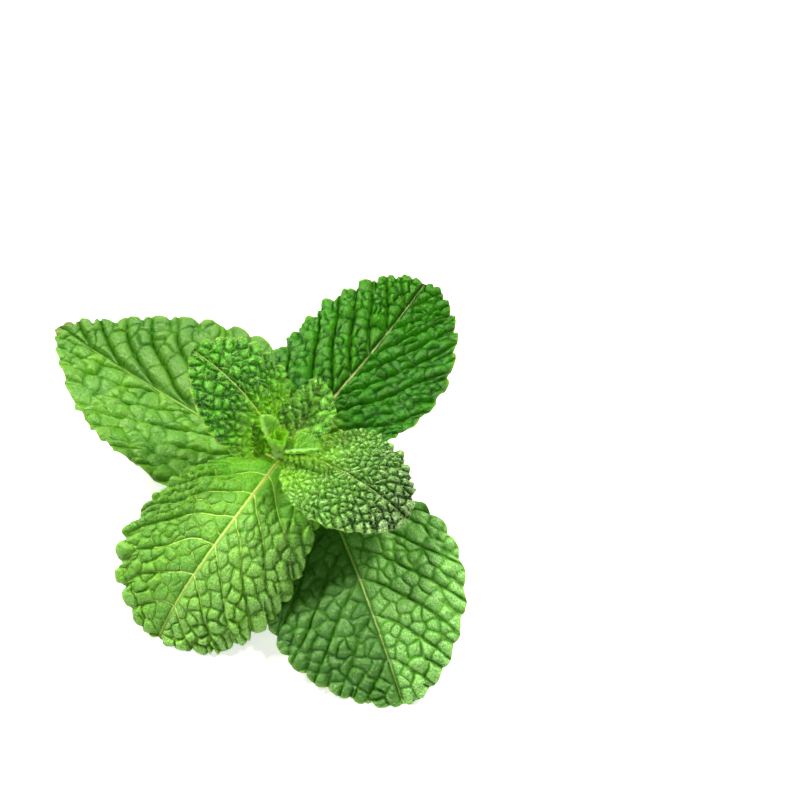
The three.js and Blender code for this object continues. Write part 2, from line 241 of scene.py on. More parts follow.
def heading(leaf, x):
    """Directions along, left and up at the share x of the midrib. along has azimuth + sweep * x
    and rise + droop * x, and left and up are level and upright, turned by roll + twist * x."""
    share = np.clip(x, 0, 1)
    azimuth = np.radians(leaf.azimuth + leaf.sweep * share)
    rise = np.radians(leaf.rise + leaf.droop * share)
    roll = np.radians(leaf.roll + leaf.twist * share)[..., None]
    along = np.stack([np.cos(rise) * np.cos(azimuth), np.cos(rise) * np.sin(azimuth),
                      np.sin(rise)], -1)
    level = np.stack([-np.sin(azimuth), np.cos(azimuth), 0 * azimuth], -1)
    above = np.cross(along, level)
    return (along, level * np.cos(roll) + above * np.sin(roll),
            above * np.cos(roll) - level * np.sin(roll))


def midrib_point(leaf, x):
    """The node plus the stalk, plus the sum of along * length / steps up to x. Before the blade
    the stalk goes straight back."""
    start = np.array(NODE[leaf.node]) + heading(leaf, np.zeros(()))[0] * leaf.stalk
    stations = np.linspace(0, 1, SPINE_STEPS + 1)
    steps = heading(leaf, (stations[1:] + stations[:-1]) / 2)[0] * leaf.length / SPINE_STEPS
    spine = start + np.vstack([np.zeros(3), np.cumsum(steps, 0)])
    on = np.stack([np.interp(x, stations, spine[:, k]) for k in range(3)], -1)
    return on + heading(leaf, np.zeros(()))[0] * (np.minimum(x, 0) * leaf.length)[..., None]


def blade_point(leaf, x, v, lift):
    """A point of the bent blade: v across (left is positive) and lift off it. Each half is an
    arc that starts at its fold and turns by its curl over half the leaf's width."""
    _, left, up = heading(leaf, x)
    right = v < 0
    fold = np.radians(np.where(right, *pair(leaf.fold)[::-1]))
    bend = np.radians(np.where(right, *pair(leaf.curl)[::-1])) / (leaf.width / 2)
    bend = np.where(np.abs(bend) < 1e-6, 1e-6, bend)
    turn = fold + bend * np.abs(v)
    across = (np.sin(turn) - np.sin(fold)) / bend
    height = (np.cos(fold) - np.cos(turn)) / bend
    tilt = turn * smooth(0, 0.8, np.abs(v))
    side = np.where(right, -1.0, 1.0)
    return (midrib_point(leaf, x) + left * (side * (across - lift * np.sin(tilt)))[..., None]
            + up * (height + lift * np.cos(tilt))[..., None])


def half_width(leaf, x):
    """Half the width at x: (width / 2) * sin(pi * x^p)^fullness, with p set by the widest place
    and fullness going from the base's to the tip's."""
    share = np.clip(x, 0, 1)
    power = math.log(0.5) / math.log(leaf.widest)
    fullness = mix(*pair(leaf.fullness), share)
    return leaf.width / 2 * np.clip(np.sin(np.pi * share ** power), 0, 1) ** fullness


def vein_origin(leaf, s):
    """Where the vein that ends at the share s of the margin leaves the midrib:
    0.15 s + 0.85 s^sweep_power."""
    return VEIN_SPREAD * s + (1 - VEIN_SPREAD) * s ** leaf.sweep_power


def tooth_out(leaf, t, noise):
    """How far the tooth at t stands out: a quarter sine to the power 0.8 up to the crest and a
    quarter cosine to the power 0.6 down from it, times the tooth's own size and the square root
    of sin(pi t)."""
    place = t * leaf.teeth
    part = place % 1
    up = np.sin(np.pi / 2 * np.clip(part / TOOTH_CREST, 0, 1)) ** 0.8
    down = np.cos(np.pi / 2 * np.clip((part - TOOTH_CREST) / (1 - TOOTH_CREST), 0, 1)) ** 0.6
    size = noise[np.minimum(place.astype(int), leaf.teeth - 1)]
    return leaf.tooth * size * np.where(part < TOOTH_CREST, up, down) * np.sin(np.pi * t) ** 0.5


def blade_rows(leaf, stalk_half):
    """Shares s of the margin for the rows, equally far apart by the mean of the way along the
    midrib and the way along the margin."""
    s = (1 - np.cos(np.pi * np.linspace(0, 1, 6001))) / 2
    s = s[(half_width(leaf, s) > stalk_half) | (s > 0.5)]
    inner = vein_origin(leaf, s) * leaf.length
    edge = np.hypot(np.diff(s * leaf.length), np.diff(half_width(leaf, s)))
    way = 0.5 * (inner - inner[0]) + 0.5 * np.concatenate([[0], np.cumsum(edge)])
    count = int(way[-1] / leaf.grain)
    return np.interp(np.linspace(0, way[-1], count + 1)[:-1], way, s)


def cell_walls(x, v, area, region, size, random):
    """Splits each region into cells of about size squared, evened out by moving each cell's
    centre most of the way to its middle three times. Gives at each point the distance to
    the nearest wall, half the difference of squared distances to two centres over the space
    between them, how far out it is in its cell, a number of the cell's own, its label, and the
    height of a plane through the cell's centre that leans by chance."""
    wall = np.zeros(x.shape)
    label = np.zeros(x.shape, int)
    first = 0
    dome = np.zeros(x.shape)
    tone = np.zeros(x.shape)
    lean = np.zeros(x.shape)
    for part in np.unique(region):
        inside = region == part
        points = np.stack([x[inside], v[inside]], -1)
        weight = area[inside]
        count = max(int(round(weight.sum() / size ** 2)), 1)
        share = (np.arange(count) + random.random(count)) / count * weight.sum()
        centres = points[np.minimum(np.searchsorted(np.cumsum(weight), share), len(points) - 1)]
        centres = centres + random.normal(0, 0.3 * size, centres.shape)
        for _ in range(3):
            apart = ((points[:, None] - centres[None]) ** 2).sum(-1)
            nearest = apart.argmin(1)
            total = np.maximum(np.bincount(nearest, weight, count), 1e-9)
            middle = np.stack([np.bincount(nearest, weight * points[:, k], count) / total
                               for k in (0, 1)], -1)
            centres = np.where((total > 1e-6)[:, None], mix(centres, middle, 0.8), centres)
        apart = ((points[:, None] - centres[None]) ** 2).sum(-1)
        nearest = apart.argmin(1)
        between = np.sqrt(((centres[:, None] - centres[None]) ** 2).sum(-1)) + 1e-6
        np.fill_diagonal(between, 1e-9)
        least = np.take_along_axis(apart, nearest[:, None], 1)
        distance = (apart - least) / (2 * between[nearest])
        distance[np.arange(len(points)), nearest] = 9.0
        reach = np.minimum(distance.min(1), size)
        deepest = np.zeros(count)
        np.maximum.at(deepest, nearest, reach)
        wall[inside] = reach
        dome[inside] = np.sqrt(least[:, 0]) / np.maximum(deepest[nearest], 0.3 * size)
        tone[inside] = random.random(count)[nearest]
        label[inside] = first + nearest
        slope = random.normal(0, 0.13, (count, 2))
        lean[inside] = ((points - centres[nearest]) * slope[nearest]).sum(-1)
        first += count
    return wall, dome, tone, label, lean


def leaf_surface(leaf, sizes, random):
    """Both faces of a leaf on one grid, from the stalk's end inside the stem to the row before
    the tip, with what its material reads at each point. The upper face is lifted by the puckers,
    each a steep rim and a flatter dome, by the swelling between side veins and by the margin's
    waves, less the grooves of the midrib and the side veins. The lower face hangs under it by
    the thickness and the highest of the midrib, the side ribs and the network of small veins."""
    scale = min(leaf.length / 45, 1) ** 0.7
    stalk_half = STALK_HALF * scale
    s = blade_rows(leaf, stalk_half)
    columns = max(int(leaf.width / 2 / leaf.grain), 12)
    f = np.linspace(-1, 1, 2 * columns + 1)
    s, f = np.meshgrid(s, f, indexing="ij")
    side = np.where(f < 0, 1, 0)
    across = np.abs(f)
    t = np.arccos(1 - 2 * s) / np.pi

    def half(value):
        """The first of two values where f is 0 or more, and the second where it is less."""
        return np.where(side == 1, *pair(value)[::-1])

    teeth = 1 + 0.22 * (random.random((2, leaf.teeth)) - 0.5)
    out = np.where(f < 0, tooth_out(leaf, t, teeth[1]), tooth_out(leaf, t, teeth[0]))
    slope = (half_width(leaf, s + 0.005) - half_width(leaf, s - 0.005)) / (0.01 * leaf.length)
    lean = np.arctan(slope)
    near_edge = smooth(0.72, 1, across)
    arch = half(leaf.arch)
    start = ARCH_START ** arch
    run = ((across + ARCH_START) ** arch - start) / ((1 + ARCH_START) ** arch - start)
    x = (mix(vein_origin(leaf, s), s, run)
         - near_edge * out * np.sin(lean) / leaf.length)
    v = np.sign(f) * (across * half_width(leaf, s) + near_edge * out * np.cos(lean))

    # Flat millimetres, and how the grid's steps measure in them.
    flat_x, flat_v = x * leaf.length, v

    def waves(size):
        """Random waves of this size in millimetres, over the flat leaf."""
        return ripple(flat_x, flat_v, size, random)

    phase = leaf.veins * vein_origin(leaf, s) ** VEIN_SPACING
    phase = phase + leaf.wander * waves(0.4 * leaf.width) * smooth(0, 0.3, across)
    xr, xc = np.gradient(flat_x)
    vr, vc = np.gradient(flat_v)
    pr, pc = np.gradient(phase)
    area = np.abs(xr * vc - xc * vr) + 1e-9
    steep = np.hypot(pr * vc - pc * vr, pc * xr - pr * xc) / area
    gauge = np.clip(1 / np.maximum(steep, 1e-6), 0.5, 30)
    to_vein = np.abs(phase - np.round(phase)) * gauge

    region = (np.floor(phase).astype(int) + 40) * 2 + side
    bent_x = flat_x + 0.16 * leaf.cell * waves(1.5 * leaf.cell)
    bent_v = flat_v + 0.16 * leaf.cell * waves(1.5 * leaf.cell)
    crowded = area * (1 + leaf.crowd * (1 - x)) ** 2
    wall, radial, tone, label, lean = cell_walls(bent_x, bent_v, crowded, region, leaf.cell,
                                                 random)
    small, _, small_tone, _, small_lean = cell_walls(bent_x, bent_v, crowded, label,
                                                     0.42 * leaf.cell, random)
    to_notch = np.abs(t * leaf.teeth - np.round(t * leaf.teeth))
    tooth_length = 1.15 * leaf.length / leaf.teeth
    taper = np.clip(x, 0, 1) ** 0.7
    rib_half = mix(1.0, 0.42, taper) * scale
    wall = np.minimum(np.minimum(wall, to_vein), np.maximum(np.abs(v) - 0.5 * rib_half, 0))
    wall = np.minimum(wall, to_notch * tooth_length / (smooth(0.8, 0.92, across) + 1e-3))
    slant = 1 - (1 - np.clip(wall / leaf.crease, 0, 1)) ** 2
    dome = slant * (0.45 + 0.55 * np.clip(1 - 0.7 * radial ** 2, 0, 1))

    ends = np.sin(np.pi * t) ** 0.4
    full = (smooth(leaf.smooth_base * 0.35, leaf.smooth_base + 0.08, x + 0.1 * across)
            * (1 - half(leaf.smooth_inner) * 1.6 * (1 - smooth(0.3, 0.8, across))).clip(0.12, 1)
            * (0.4 + 0.6 * ends))
    pucker = half(leaf.pucker) * sizes.pucker
    knob = 1 - (1 - np.clip(small / (0.2 * leaf.cell), 0, 1)) ** 2
    height = (pucker * full * dome * (0.55 + 0.6 * tone + 0.18 * knob * (0.4 + small_tone))
              + full * slant * (lean + 0.5 * small_lean * knob)
              + 0.12 * pucker * waves(0.9 * leaf.cell) * full
              - 0.55 * leaf.tooth * np.exp(-(to_notch * 5) ** 2) * smooth(0.8, 1, across)
              * np.sin(np.pi * t))
    height = blur(height, 1)
    between = np.abs(np.sin(np.pi * phase)) ** 0.8
    swelling = (half(leaf.swell) * between * smooth(0, 0.25, across) * (1 - 0.8 * across ** 4)
                * ends)
    wave = (half(leaf.wave) * across ** 2
            * np.sin(2 * np.pi * (leaf.waves * t + side / 4)) * np.sin(np.pi * t)
            + 0.01 * leaf.width * waves(0.35 * leaf.width) * across * np.sin(np.pi * t))
    groove = (0.4 * scale * np.exp(-(v / (1.5 * rib_half)) ** 2)
              - 0.3 * scale * np.exp(-(v / (0.45 * rib_half)) ** 2)
              + half(leaf.valley) * np.exp(-(to_vein / 0.45) ** 2) * smooth(0.02, 0.1, across)
              * (1 - across ** 3))
    lift = height + swelling + wave - groove - sizes.lowered

    thick = sizes.thickness * (1 - 0.45 * across ** 10) * (0.6 + 0.4 * scale)
    rib = mix(MIDRIB_DEPTH, 0.25, taper) * scale * np.sqrt(np.clip(1 - (v / rib_half) ** 2, 0, 1))
    side_rib = sizes.rib * scale * np.exp(-(to_vein / (0.3 + 0.2 * scale)) ** 2) * (1 - across ** 3)
    net_rib = 0.3 * sizes.rib * scale * np.exp(-(wall / 0.25) ** 2)
    under = thick + np.maximum(rib, np.maximum(side_rib * smooth(0, 0.06, across), net_rib))

    # The stalk goes on back into the stem with the same section as the blade's first row.
    rows = max(int(leaf.stalk / (2.5 * leaf.grain)), 6)
    back = np.linspace(leaf.stalk - 0.2, 0, rows, endpoint=False)[:, None]
    wide = stalk_half * (1 + 0.35 * (back / leaf.stalk) ** 2)
    f_stalk = f[:1]
    stalk_v = f_stalk * wide
    stalk_x = -back / leaf.length + 0 * f_stalk
    stalk_rib = MIDRIB_DEPTH * scale * np.sqrt(np.clip(1 - (f_stalk * 0.98) ** 2, 0, 1)) + 0 * back
    stalk_lift = -0.3 * scale * (1 - f_stalk ** 2) - sizes.lowered + 0 * back

    def joined(stalk, blade):
        """The stalk's rows, spread to the grid's width, and then the blade's rows."""
        return np.vstack([stalk + 0 * stalk_x, blade])

    top = blade_point(leaf, joined(stalk_x, x), joined(stalk_v, v), joined(stalk_lift, lift))
    bottom = blade_point(leaf, joined(stalk_x, x), joined(stalk_v, v),
                         joined(stalk_lift - thick[:1] - stalk_rib, lift - under))
    bottom[..., 2] = np.maximum(bottom[..., 2], 0)
    top[..., 2] = np.maximum(top[..., 2], bottom[..., 2] + LEAST_THICKNESS)
    tip = [blade_point(leaf, np.array([1.0]), np.array([0.0]), np.array([-sizes.lowered - d]))
           for d in (0, TIP_THICKNESS)]
    tip[1][..., 2] = np.maximum(tip[1][..., 2], 0)
    tip[0][..., 2] = np.maximum(tip[0][..., 2], tip[1][..., 2] + TIP_THICKNESS)
    zero = np.zeros(())
    reads = {
        "flat": (joined(stalk_x * leaf.length, flat_x), joined(stalk_v, flat_v)),
        "place": (joined(stalk_x, x), joined(0 * stalk_x, across)),
        "relief": (joined(zero + 0.5, phase), joined(zero + 9, gauge)),
        "cell": (joined(zero + 0.8, dome), joined(zero + 0.5, tone)),
        "wall": (joined(zero + 2, wall), joined(zero + 1, np.minimum(small, wall))),
    }
    return top, bottom, tip, reads


def shell_faces(rows, columns):
    """Corner numbers of a closed shell: a grid of both faces, one tip point each, the rim that
    joins them along the margin, and the end of the stalk. Quads, then triangles."""
    face = rows * columns + 1
    at = np.arange(rows * columns).reshape(rows, columns)
    a, b, c, d = at[:-1, :-1], at[1:, :-1], at[1:, 1:], at[:-1, 1:]
    top = np.stack([a, b, c, d], -1).reshape(-1, 4)
    bottom = np.stack([b, a, d, c], -1).reshape(-1, 4) + face
    left, right = at[:, -1], at[:, 0]
    rim = np.vstack([
        np.stack([left[:-1] + face, left[:-1], left[1:], left[1:] + face], -1),
        np.stack([right[:-1], right[:-1] + face, right[1:] + face, right[1:]], -1),
        np.stack([at[0, :-1], at[0, 1:], at[0, 1:] + face, at[0, :-1] + face], -1),
    ])
    tip = rows * columns
    last = at[-1]
    fans = np.vstack([
        np.stack([last[:-1], 0 * last[1:] + tip, last[1:]], -1),
        np.stack([0 * last[1:] + tip, last[:-1], last[1:]], -1) + face,
        [[last[-1] + face, last[-1], tip], [last[-1] + face, tip, tip + face]],
        [[last[0], last[0] + face, tip + face], [last[0], tip + face, tip]],
    ])
    return np.vstack([top, bottom, rim]), fans


# ---- into Blender ----


def new_piece(name, points, quads, triangles, material, slot, nodes=()):
    """A mesh object at the origin from points in millimetres, riding on the sprig's body."""
    mesh = bpy.data.meshes.new(name)
    points = (np.asarray(points).reshape(-1, 3) - NODE["middle"] + MIDDLE_NODE) * MM
    corners = np.concatenate([np.asarray(quads, int).ravel(), np.asarray(triangles, int).ravel()])
    sides = np.concatenate([np.full(len(quads), 4), np.full(len(triangles), 3)])
    mesh.vertices.add(len(points))
    mesh.vertices.foreach_set("co", points.astype(np.float32).ravel())
    mesh.loops.add(len(corners))
    mesh.loops.foreach_set("vertex_index", corners.astype(np.int32))
    mesh.polygons.add(len(sides))
    starts = np.concatenate([[0], np.cumsum(sides)[:-1]])
    mesh.polygons.foreach_set("loop_start", starts.astype(np.int32))
    mesh.update(calc_edges=True)
    mesh.validate()
    mesh.polygons.foreach_set("use_smooth", np.ones(len(mesh.polygons), bool))
    mesh.set_sharp_from_angle(angle=math.radians(SHARP_ANGLE))
    mesh.materials.append(material)
    piece = placed(name, mesh)
    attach(piece, "root")
    if nodes:
        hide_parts(*nodes)
    return piece


def placed(name, data):
    """An object with this data, linked into the scene."""
    thing = bpy.data.objects.new(name, data)
    bpy.context.scene.collection.objects.link(thing)
    return thing


def store(piece, name, first, second, third):
    """Keeps three numbers for each corner point of the piece under one name."""
    values = np.stack([np.ravel(first), np.ravel(second), np.ravel(third)], -1)
    kept = piece.data.attributes.new(name, "FLOAT_VECTOR", "POINT")
    kept.data.foreach_set("vector", values.astype(np.float32).ravel())


SURFACES = {}  # the upper face of each leaf and the stem's skin, which the hairs stand on


def make_leaf(leaf, name, nodes, sizes, material, slot):
    """Builds one leaf, in place of these nodes, and stores what its material reads."""
    random = np.random.default_rng(sum(map(ord, leaf.name)))
    top, bottom, tip, reads = leaf_surface(leaf, sizes, random)
    SURFACES[leaf.name] = top
    rows, columns = top.shape[:2]
    points = np.vstack([top.reshape(-1, 3), tip[0], bottom.reshape(-1, 3), tip[1]])
    quads, triangles = shell_faces(rows, columns)
    piece = new_piece(name, points, quads, triangles, material, slot, nodes)

    def both(grid, end):
        """The grid's values and the tip's, once for the upper face and once for the lower."""
        one = np.append(grid.ravel(), end)
        return np.concatenate([one, one])

    below = np.concatenate([np.zeros(rows * columns + 1), np.ones(rows * columns + 1)])
    ends = {"flat": (leaf.length, 0), "place": (1, 1), "relief": (0.5, 9), "cell": (0.5, 0.5),
            "wall": (1, 1)}
    for key, (first, second) in reads.items():
        store(piece, key, both(first, ends[key][0]), both(second, ends[key][1]), below)


# ---- materials ----


class Wire:
    """One output of a material's nodes. Sums on wires and numbers add Math nodes."""

    def __init__(self, shader, socket):
        self.shader = shader
        self.socket = socket

    def sum(self, operation, *values):
        """A Math node with these values."""
        return self.shader.node("ShaderNodeMath", {"operation": operation},
                                dict(enumerate(values)))

    def __add__(self, other):
        return self.sum("ADD", self, other)

    def __sub__(self, other):
        return self.sum("SUBTRACT", self, other)

    def __mul__(self, other):
        return self.sum("MULTIPLY", self, other)

    def __truediv__(self, other):
        return self.sum("DIVIDE", self, other)

    def __pow__(self, other):
        return self.sum("POWER", self, other)

    def __rsub__(self, other):
        return self.sum("SUBTRACT", other, self)

    def __abs__(self):
        return self.sum("ABSOLUTE", self)

    __radd__ = __add__
    __rmul__ = __mul__


class Shader:
    """A material and the nodes that make it."""

    def __init__(self, name):
        self.material = bpy.data.materials.new(name)
        self.material.use_nodes = True
        self.tree = self.material.node_tree
        self.tree.nodes.clear()

    def node(self, kind, settings=None, inputs=None, output=0):
        """Adds a node, its settings first, then its inputs as values or links."""
        node = self.tree.nodes.new(kind)
        for key, value in (settings or {}).items():
            setattr(node, key, value)
        for key, value in (inputs or {}).items():
            socket = node.inputs[key]
            if isinstance(value, Wire):
                self.tree.links.new(value.socket, socket)
            elif socket.type == "RGBA" and len(value) == 3:
                socket.default_value = (*value, 1)
            else:
                socket.default_value = value
        return Wire(self, node.outputs[output])

    def attribute(self, name):
        """The three numbers that a piece keeps under a name."""
        vector = self.node("ShaderNodeAttribute", {"attribute_name": name}, output="Vector")
        return vector, [self.node("ShaderNodeSeparateXYZ", None, {0: vector}, k) for k in range(3)]

    def colour(self, share, first, second):
        """Mixes two colours, each a wire or a screen colour, by a share."""
        first, second = (linear(c) if isinstance(c, str) else c for c in (first, second))
        return self.node("ShaderNodeMix", {"data_type": "RGBA"},
                         {0: share, 6: first, 7: second}, 2)

    def coats(self, under, *coats):
        """Mixes each coat's colour over what is under it, by the coat's share."""
        for share, tint in coats:
            under = self.colour(share, under, tint)
        return under

    def between(self, value, low, high, start=0.0, end=1.0):
        """start below low, end above high, and a smooth step between."""
        return self.node("ShaderNodeMapRange", {"interpolation_type": "SMOOTHSTEP"},
                         {0: value, 1: low, 2: high, 3: start, 4: end})

    def noise(self, vector, scale, detail=2.0):
        """Noise from 0 to 1."""
        return self.node("ShaderNodeTexNoise", None,
                         {"Vector": vector, "Scale": scale, "Detail": detail})

    def finish(self, surface):
        """Wires the surface to the output and gives the material."""
        end = self.tree.nodes.new("ShaderNodeOutputMaterial")
        self.tree.links.new(surface.socket, end.inputs["Surface"])
        return self.material


def leaf_material(name, look):
    """Leaf skin: painted shade in the grooves and creases and lighter on the puckers, with a painted
    whitish sheen on their tops, pale midrib and side veins, yellow-green at the base, a thin light
    rim, and a paler, duller underside."""
    make = Shader(name)
    flat, (_, flat_v, _) = make.attribute("flat")
    _, (along, across, below) = make.attribute("place")
    _, (phase, gauge, _) = make.attribute("relief")
    _, (dome, tone, _) = make.attribute("cell")
    _, (wall, small_wall, _) = make.attribute("wall")
    left = make.between(flat_v, -0.4, 0.4)

    def half(value):
        """The first of two values on the left and the second on the right, mixed at the midrib."""
        on_left, on_right = pair(value)
        return on_right + left * (on_left - on_right)

    to_vein = abs(make.node("ShaderNodeMath", {"operation": "FRACT"}, {0: phase + 0.5}) - 0.5)
    to_vein = to_vein * gauge
    fade = make.between(across, 0.1, 0.95, 1.0, 0.15)
    side_vein = make.between(to_vein, 0.05, look.vein_width, 1.0, 0.0) * fade
    rib_width = make.between(along, 0.0, 0.9, look.rib_width, look.rib_width * 0.35)
    midrib = make.between(abs(flat_v) / rib_width, 0.55, 1.15, 1.0, 0.0)
    midrib_show = make.between(along, 0.1, 0.8, *pair(look.midrib_show))
    at_base = make.between(along + across * 0.16, -0.02, look.young_reach, 1.0, 0.0)
    # Strength of the painted shade in the grooves and creases, less at the base; it also deepens the
    # grooves of the bump.
    net = look.net - at_base * (0.7 * look.net * look.young_share)
    in_groove = make.between(wall, 0.02, look.groove_width, 1.0, 0.0) * net
    in_crease = make.between(small_wall, 0.0, 0.2, 1.0, 0.0) * net

    broad = make.noise(flat, 0.16)
    patch = make.noise(flat, 0.5)
    fine = make.noise(flat, 1.5)
    grit = make.noise(flat, 3.4)

    # Painted sheen: a whitish tint speckled over the tops of the puckers, standing in for light glinting
    # off them.
    frost = (half(look.frost) * make.between(dome, 0.2, 0.75) * make.between(grit, 0.35, 0.6)
             * make.between(along, 0.05, 0.35))
    rib = make.colour(make.between(along, 0.02, 0.45, 0.9, 0.0), look.midrib, look.root)
    tip = make.between(along, 0.93, 1.0, 0.0, look.tip_brown)
    skin = make.coats(
        # painted shade: darker low in each pucker, down to the groove share of the blade colour at its
        # foot
        make.colour(make.between(dome, 0.0, 0.75, look.groove, 1.0), look.deep, look.blade),
        (make.between(tone, 0.3, 1.0, 0.0, 0.5), look.bright),
        (make.between(broad, 0.35, 0.7, 0.0, 0.5), look.bright),
        (make.between(patch, 0.5, 0.75, 0.0, 0.35), look.deep),
        (make.between(fine, 0.3, 0.75, 0.0, 0.3), look.deep),
        # painted shade in the small creases
        (in_crease * 0.4, look.deep),
        (at_base * look.young_share, look.young),
        (make.between(along, 0.4, 0.95, 0.0, look.dim_tip), look.deep),
        # painted sheen on the puckers' tops
        (frost, look.wax),
        # painted shade in the grooves between the puckers
        (in_groove * 0.65, look.deep),
        (make.between(wall, 0.02, 0.14, 1.0, 0.0) * half(look.net_show), look.vein),
        (side_vein * half(look.vein_show), look.vein),
        # painted shadow over one half of the leaf
        (half(look.shade), look.deep),
        (midrib * midrib_show, rib),
        (make.between(across, 0.97, 0.998, 0.0, look.rim_show), look.rim),
        (tip * make.between(across, 0.5, 1.0, 0.2, 1.0), "7a5a3a"))
    back = make.coats(
        make.colour(make.between(broad, 0.3, 0.7), "679a40", "78ab4c"),
        (at_base * (0.7 * look.young_share), look.young),
        (in_groove * 0.5, "93bd63"),
        (make.between(to_vein, 0.2, 0.55, 0.8, 0.0) * fade, "aac974"),
        (midrib * 0.9, "b4cd78"))
    skin = make.colour(below, skin, back)

    rough = look.rough + below * 0.15 + make.between(fine, 0.3, 0.7, -0.06, 0.1)
    height = (fine * 0.6 + grit * 0.3 + midrib * 0.4 - in_crease * 0.15
              - make.between(wall, 0.0, 0.28, 0.4, 0.0) * net)
    bump = make.node("ShaderNodeBump", None,
                     {"Strength": 1.0, "Distance": 0.0005, "Height": height})
    gloss = make.node("ShaderNodeBsdfPrincipled", None, {
        "Base Color": skin, "Roughness": rough, "Normal": bump, "IOR": 1.45,
        "Specular IOR Level": look.gloss})
    through = make.node("ShaderNodeBsdfTranslucent", None, {
        "Color": linear(look.through)})
    return make.finish(make.node("ShaderNodeMixShader", None,
                                 {0: look.translucent, 1: gloss, 2: through}))


def leaf_look(blade="65a018", bright="86ba30", deep="184c04", young="a6d010", vein="b4d878",
              midrib="b8d45c", rim="9cc840", wax="c4e0a4", through="90d008", vein_show=0.3,
              net_show=0.0, frost=0.25, vein_width=0.17, groove_width=0.19,
              groove=0.5, rib_width=0.34, young_reach=0.3, young_share=0.7, rim_show=0.3,
              tip_brown=0.0, rough=0.38, gloss=0.6, translucent=0.22, shade=0.0,
              midrib_show=(0.9, 0.8), net=0.6, dim_tip=0.0, root="c8d44c"):
    """Colours and finish of one leaf. The whitish sheen on the puckers' tops is painted light, and the
    darkening in the grooves and creases and over one half is painted shade. A pair is for its left
    and its right half, and one number for both."""
    return SimpleNamespace(**locals())


# Painted light: the leaves' colours carry light and shade besides their own hue. leaf_upper_left and
# leaf_middle_back are painted darker than the other leaf of their pair, as in shade, and leaf_low_front
# lighter to make up for light it misses. leaf_tip_front and leaf_crown_right, and the bud's leaflets,
# are a pale lime that is partly their own young colour and partly a painted glow of light shining
# through them.
LOOKS = {
    "leaf_low_left": leaf_look(
        blade="3e8804", bright="6cac0c", deep="144c00", tip_brown=0.8, young_reach=0.15,
        young_share=0.3, frost=(0.3, 0.4), wax="a0c47c", vein_show=0.1, midrib_show=(0.6, 0.3),
        net=0.55, shade=(0.0, 0.32)),
    "leaf_low_front": leaf_look(
        blade="4ca41c", bright="78c83c", deep="083c02", young_reach=0.2, frost=(0.6, 0.35),
        wax="b4e09c", vein="a4d070", vein_show=(0.8, 0.5), net_show=(0.35, 0.15),
        shade=(0.0, 0.62), midrib="b4d478", midrib_show=(0.95, 0.6), rough=0.34),
    "leaf_middle_front": leaf_look(
        blade="4c9a0a", bright="78c014", deep="105002", vein="d8fc84", vein_show=(0.8, 1.0),
        young="68bc00", net_show=(0.4, 0.7), frost=(0.5, 0.25), wax="b8e090", young_reach=0.5,
        young_share=0.85, rib_width=0.25, midrib="c8e480", midrib_show=0.9, net=0.8,
        vein_width=0.2, root="d8b83c", gloss=0.5),
    "leaf_middle_back": leaf_look(
        blade="085400", bright="288400", deep="032400", frost=(0.45, 0.25), wax="68b82c",
        gloss=0.45, rough=0.34, vein_show=(0.6, 0.5), net=0.65, vein="8cc864", groove=0.35,
        midrib="b8c880", root="d8a888"),
    "leaf_upper_left": leaf_look(
        blade="1c7400", bright="409c04", deep="063c00", rib_width=0.24, wax="94dc54", frost=0.4,
        vein_show=0.2, rough=0.3, gloss=0.4, rim_show=0.6, young_share=0.9, young_reach=0.6,
        young="90d808", translucent=0.06, midrib_show=(0.75, 1.0), net=0.35, groove=0.3),
    "leaf_upper_right": leaf_look(
        blade="449402", bright="6cb81c", deep="043400", wax="b0e48c", rib_width=0.24,
        young_reach=0.65, young_share=0.95, young="88cc08", frost=0.5, vein_show=0.1, rough=0.27,
        gloss=0.9, translucent=0.06, midrib_show=(0.2, 0.5), net=0.85, dim_tip=1.0),
    "leaf_tip_back": leaf_look(
        blade="48ac04", bright="7cd418", deep="0c5402", rib_width=0.18, young_reach=0.5,
        young_share=0.8, frost=0.35, wax="b4e870", translucent=0.2, rough=0.28, gloss=0.7,
        midrib_show=0.9, net=0.3, groove=0.3),
    "leaf_tip_front": leaf_look(
        blade="b0e818", bright="ccf430", deep="70bc0c", rib_width=0.16, young="d0f018",
        through="c4f810", young_reach=1.2, young_share=0.85, translucent=0.5, net=0.3),
    "leaf_crown_right": leaf_look(
        blade="90e008", bright="b4f420", deep="54ac0c", rib_width=0.16, young_reach=0.8,
        young_share=0.8, young="b8e818", through="a0e810", translucent=0.4, net=0.5),
}

# Leaflets of the bud: azimuth, rise and length of each.
BUD_LEAFLETS = ((205, 62, 4.6), (20, 66, 4.4), (290, 58, 3.8), (110, 70, 4.2), (250, 75, 3.2))


def stem_material():
    """Stem skin: yellow-green, reddish at the nodes and along the ribs, with fine streaks."""
    make = Shader("stem_skin")
    _, (along, around, redness) = make.attribute("skin")
    streak = make.node("ShaderNodeCombineXYZ", None, {0: along * 0.25, 1: around * 14.0, 2: 0.0})
    lines = make.noise(streak, 1.0, 3.0)
    place = make.node("ShaderNodeTexCoord", None, None, "Object")
    speck = make.noise(place, 1800.0)
    skin = make.coats(make.colour(make.between(lines, 0.3, 0.7), "5c9420", "8cb838"),
                      (make.between(speck, 0.55, 0.75, 0.0, 0.35), "b7cf77"),
                      (redness, "b87c2c"))
    bump = make.node("ShaderNodeBump", None,
                     {"Strength": 0.4, "Distance": 0.0002, "Height": lines + speck * 0.4})
    return make.finish(make.node("ShaderNodeBsdfPrincipled", None, {
        "Base Color": skin, "Roughness": 0.45, "Normal": bump, "Specular IOR Level": 0.5}))


def hair_material():
    """Hairs: nearly clear, pale and a little glossy."""
    make = Shader("hair")
    gloss = make.node("ShaderNodeBsdfPrincipled", None, {
        "Base Color": linear("e8fcc8"), "Roughness": 0.25, "Specular IOR Level": 0.5})
    through = make.node("ShaderNodeBsdfTranslucent", None, {"Color": linear("c4f078")})
    return make.finish(make.node("ShaderNodeMixShader", None, {0: 0.5, 1: gloss, 2: through}))


# ---- stem ----


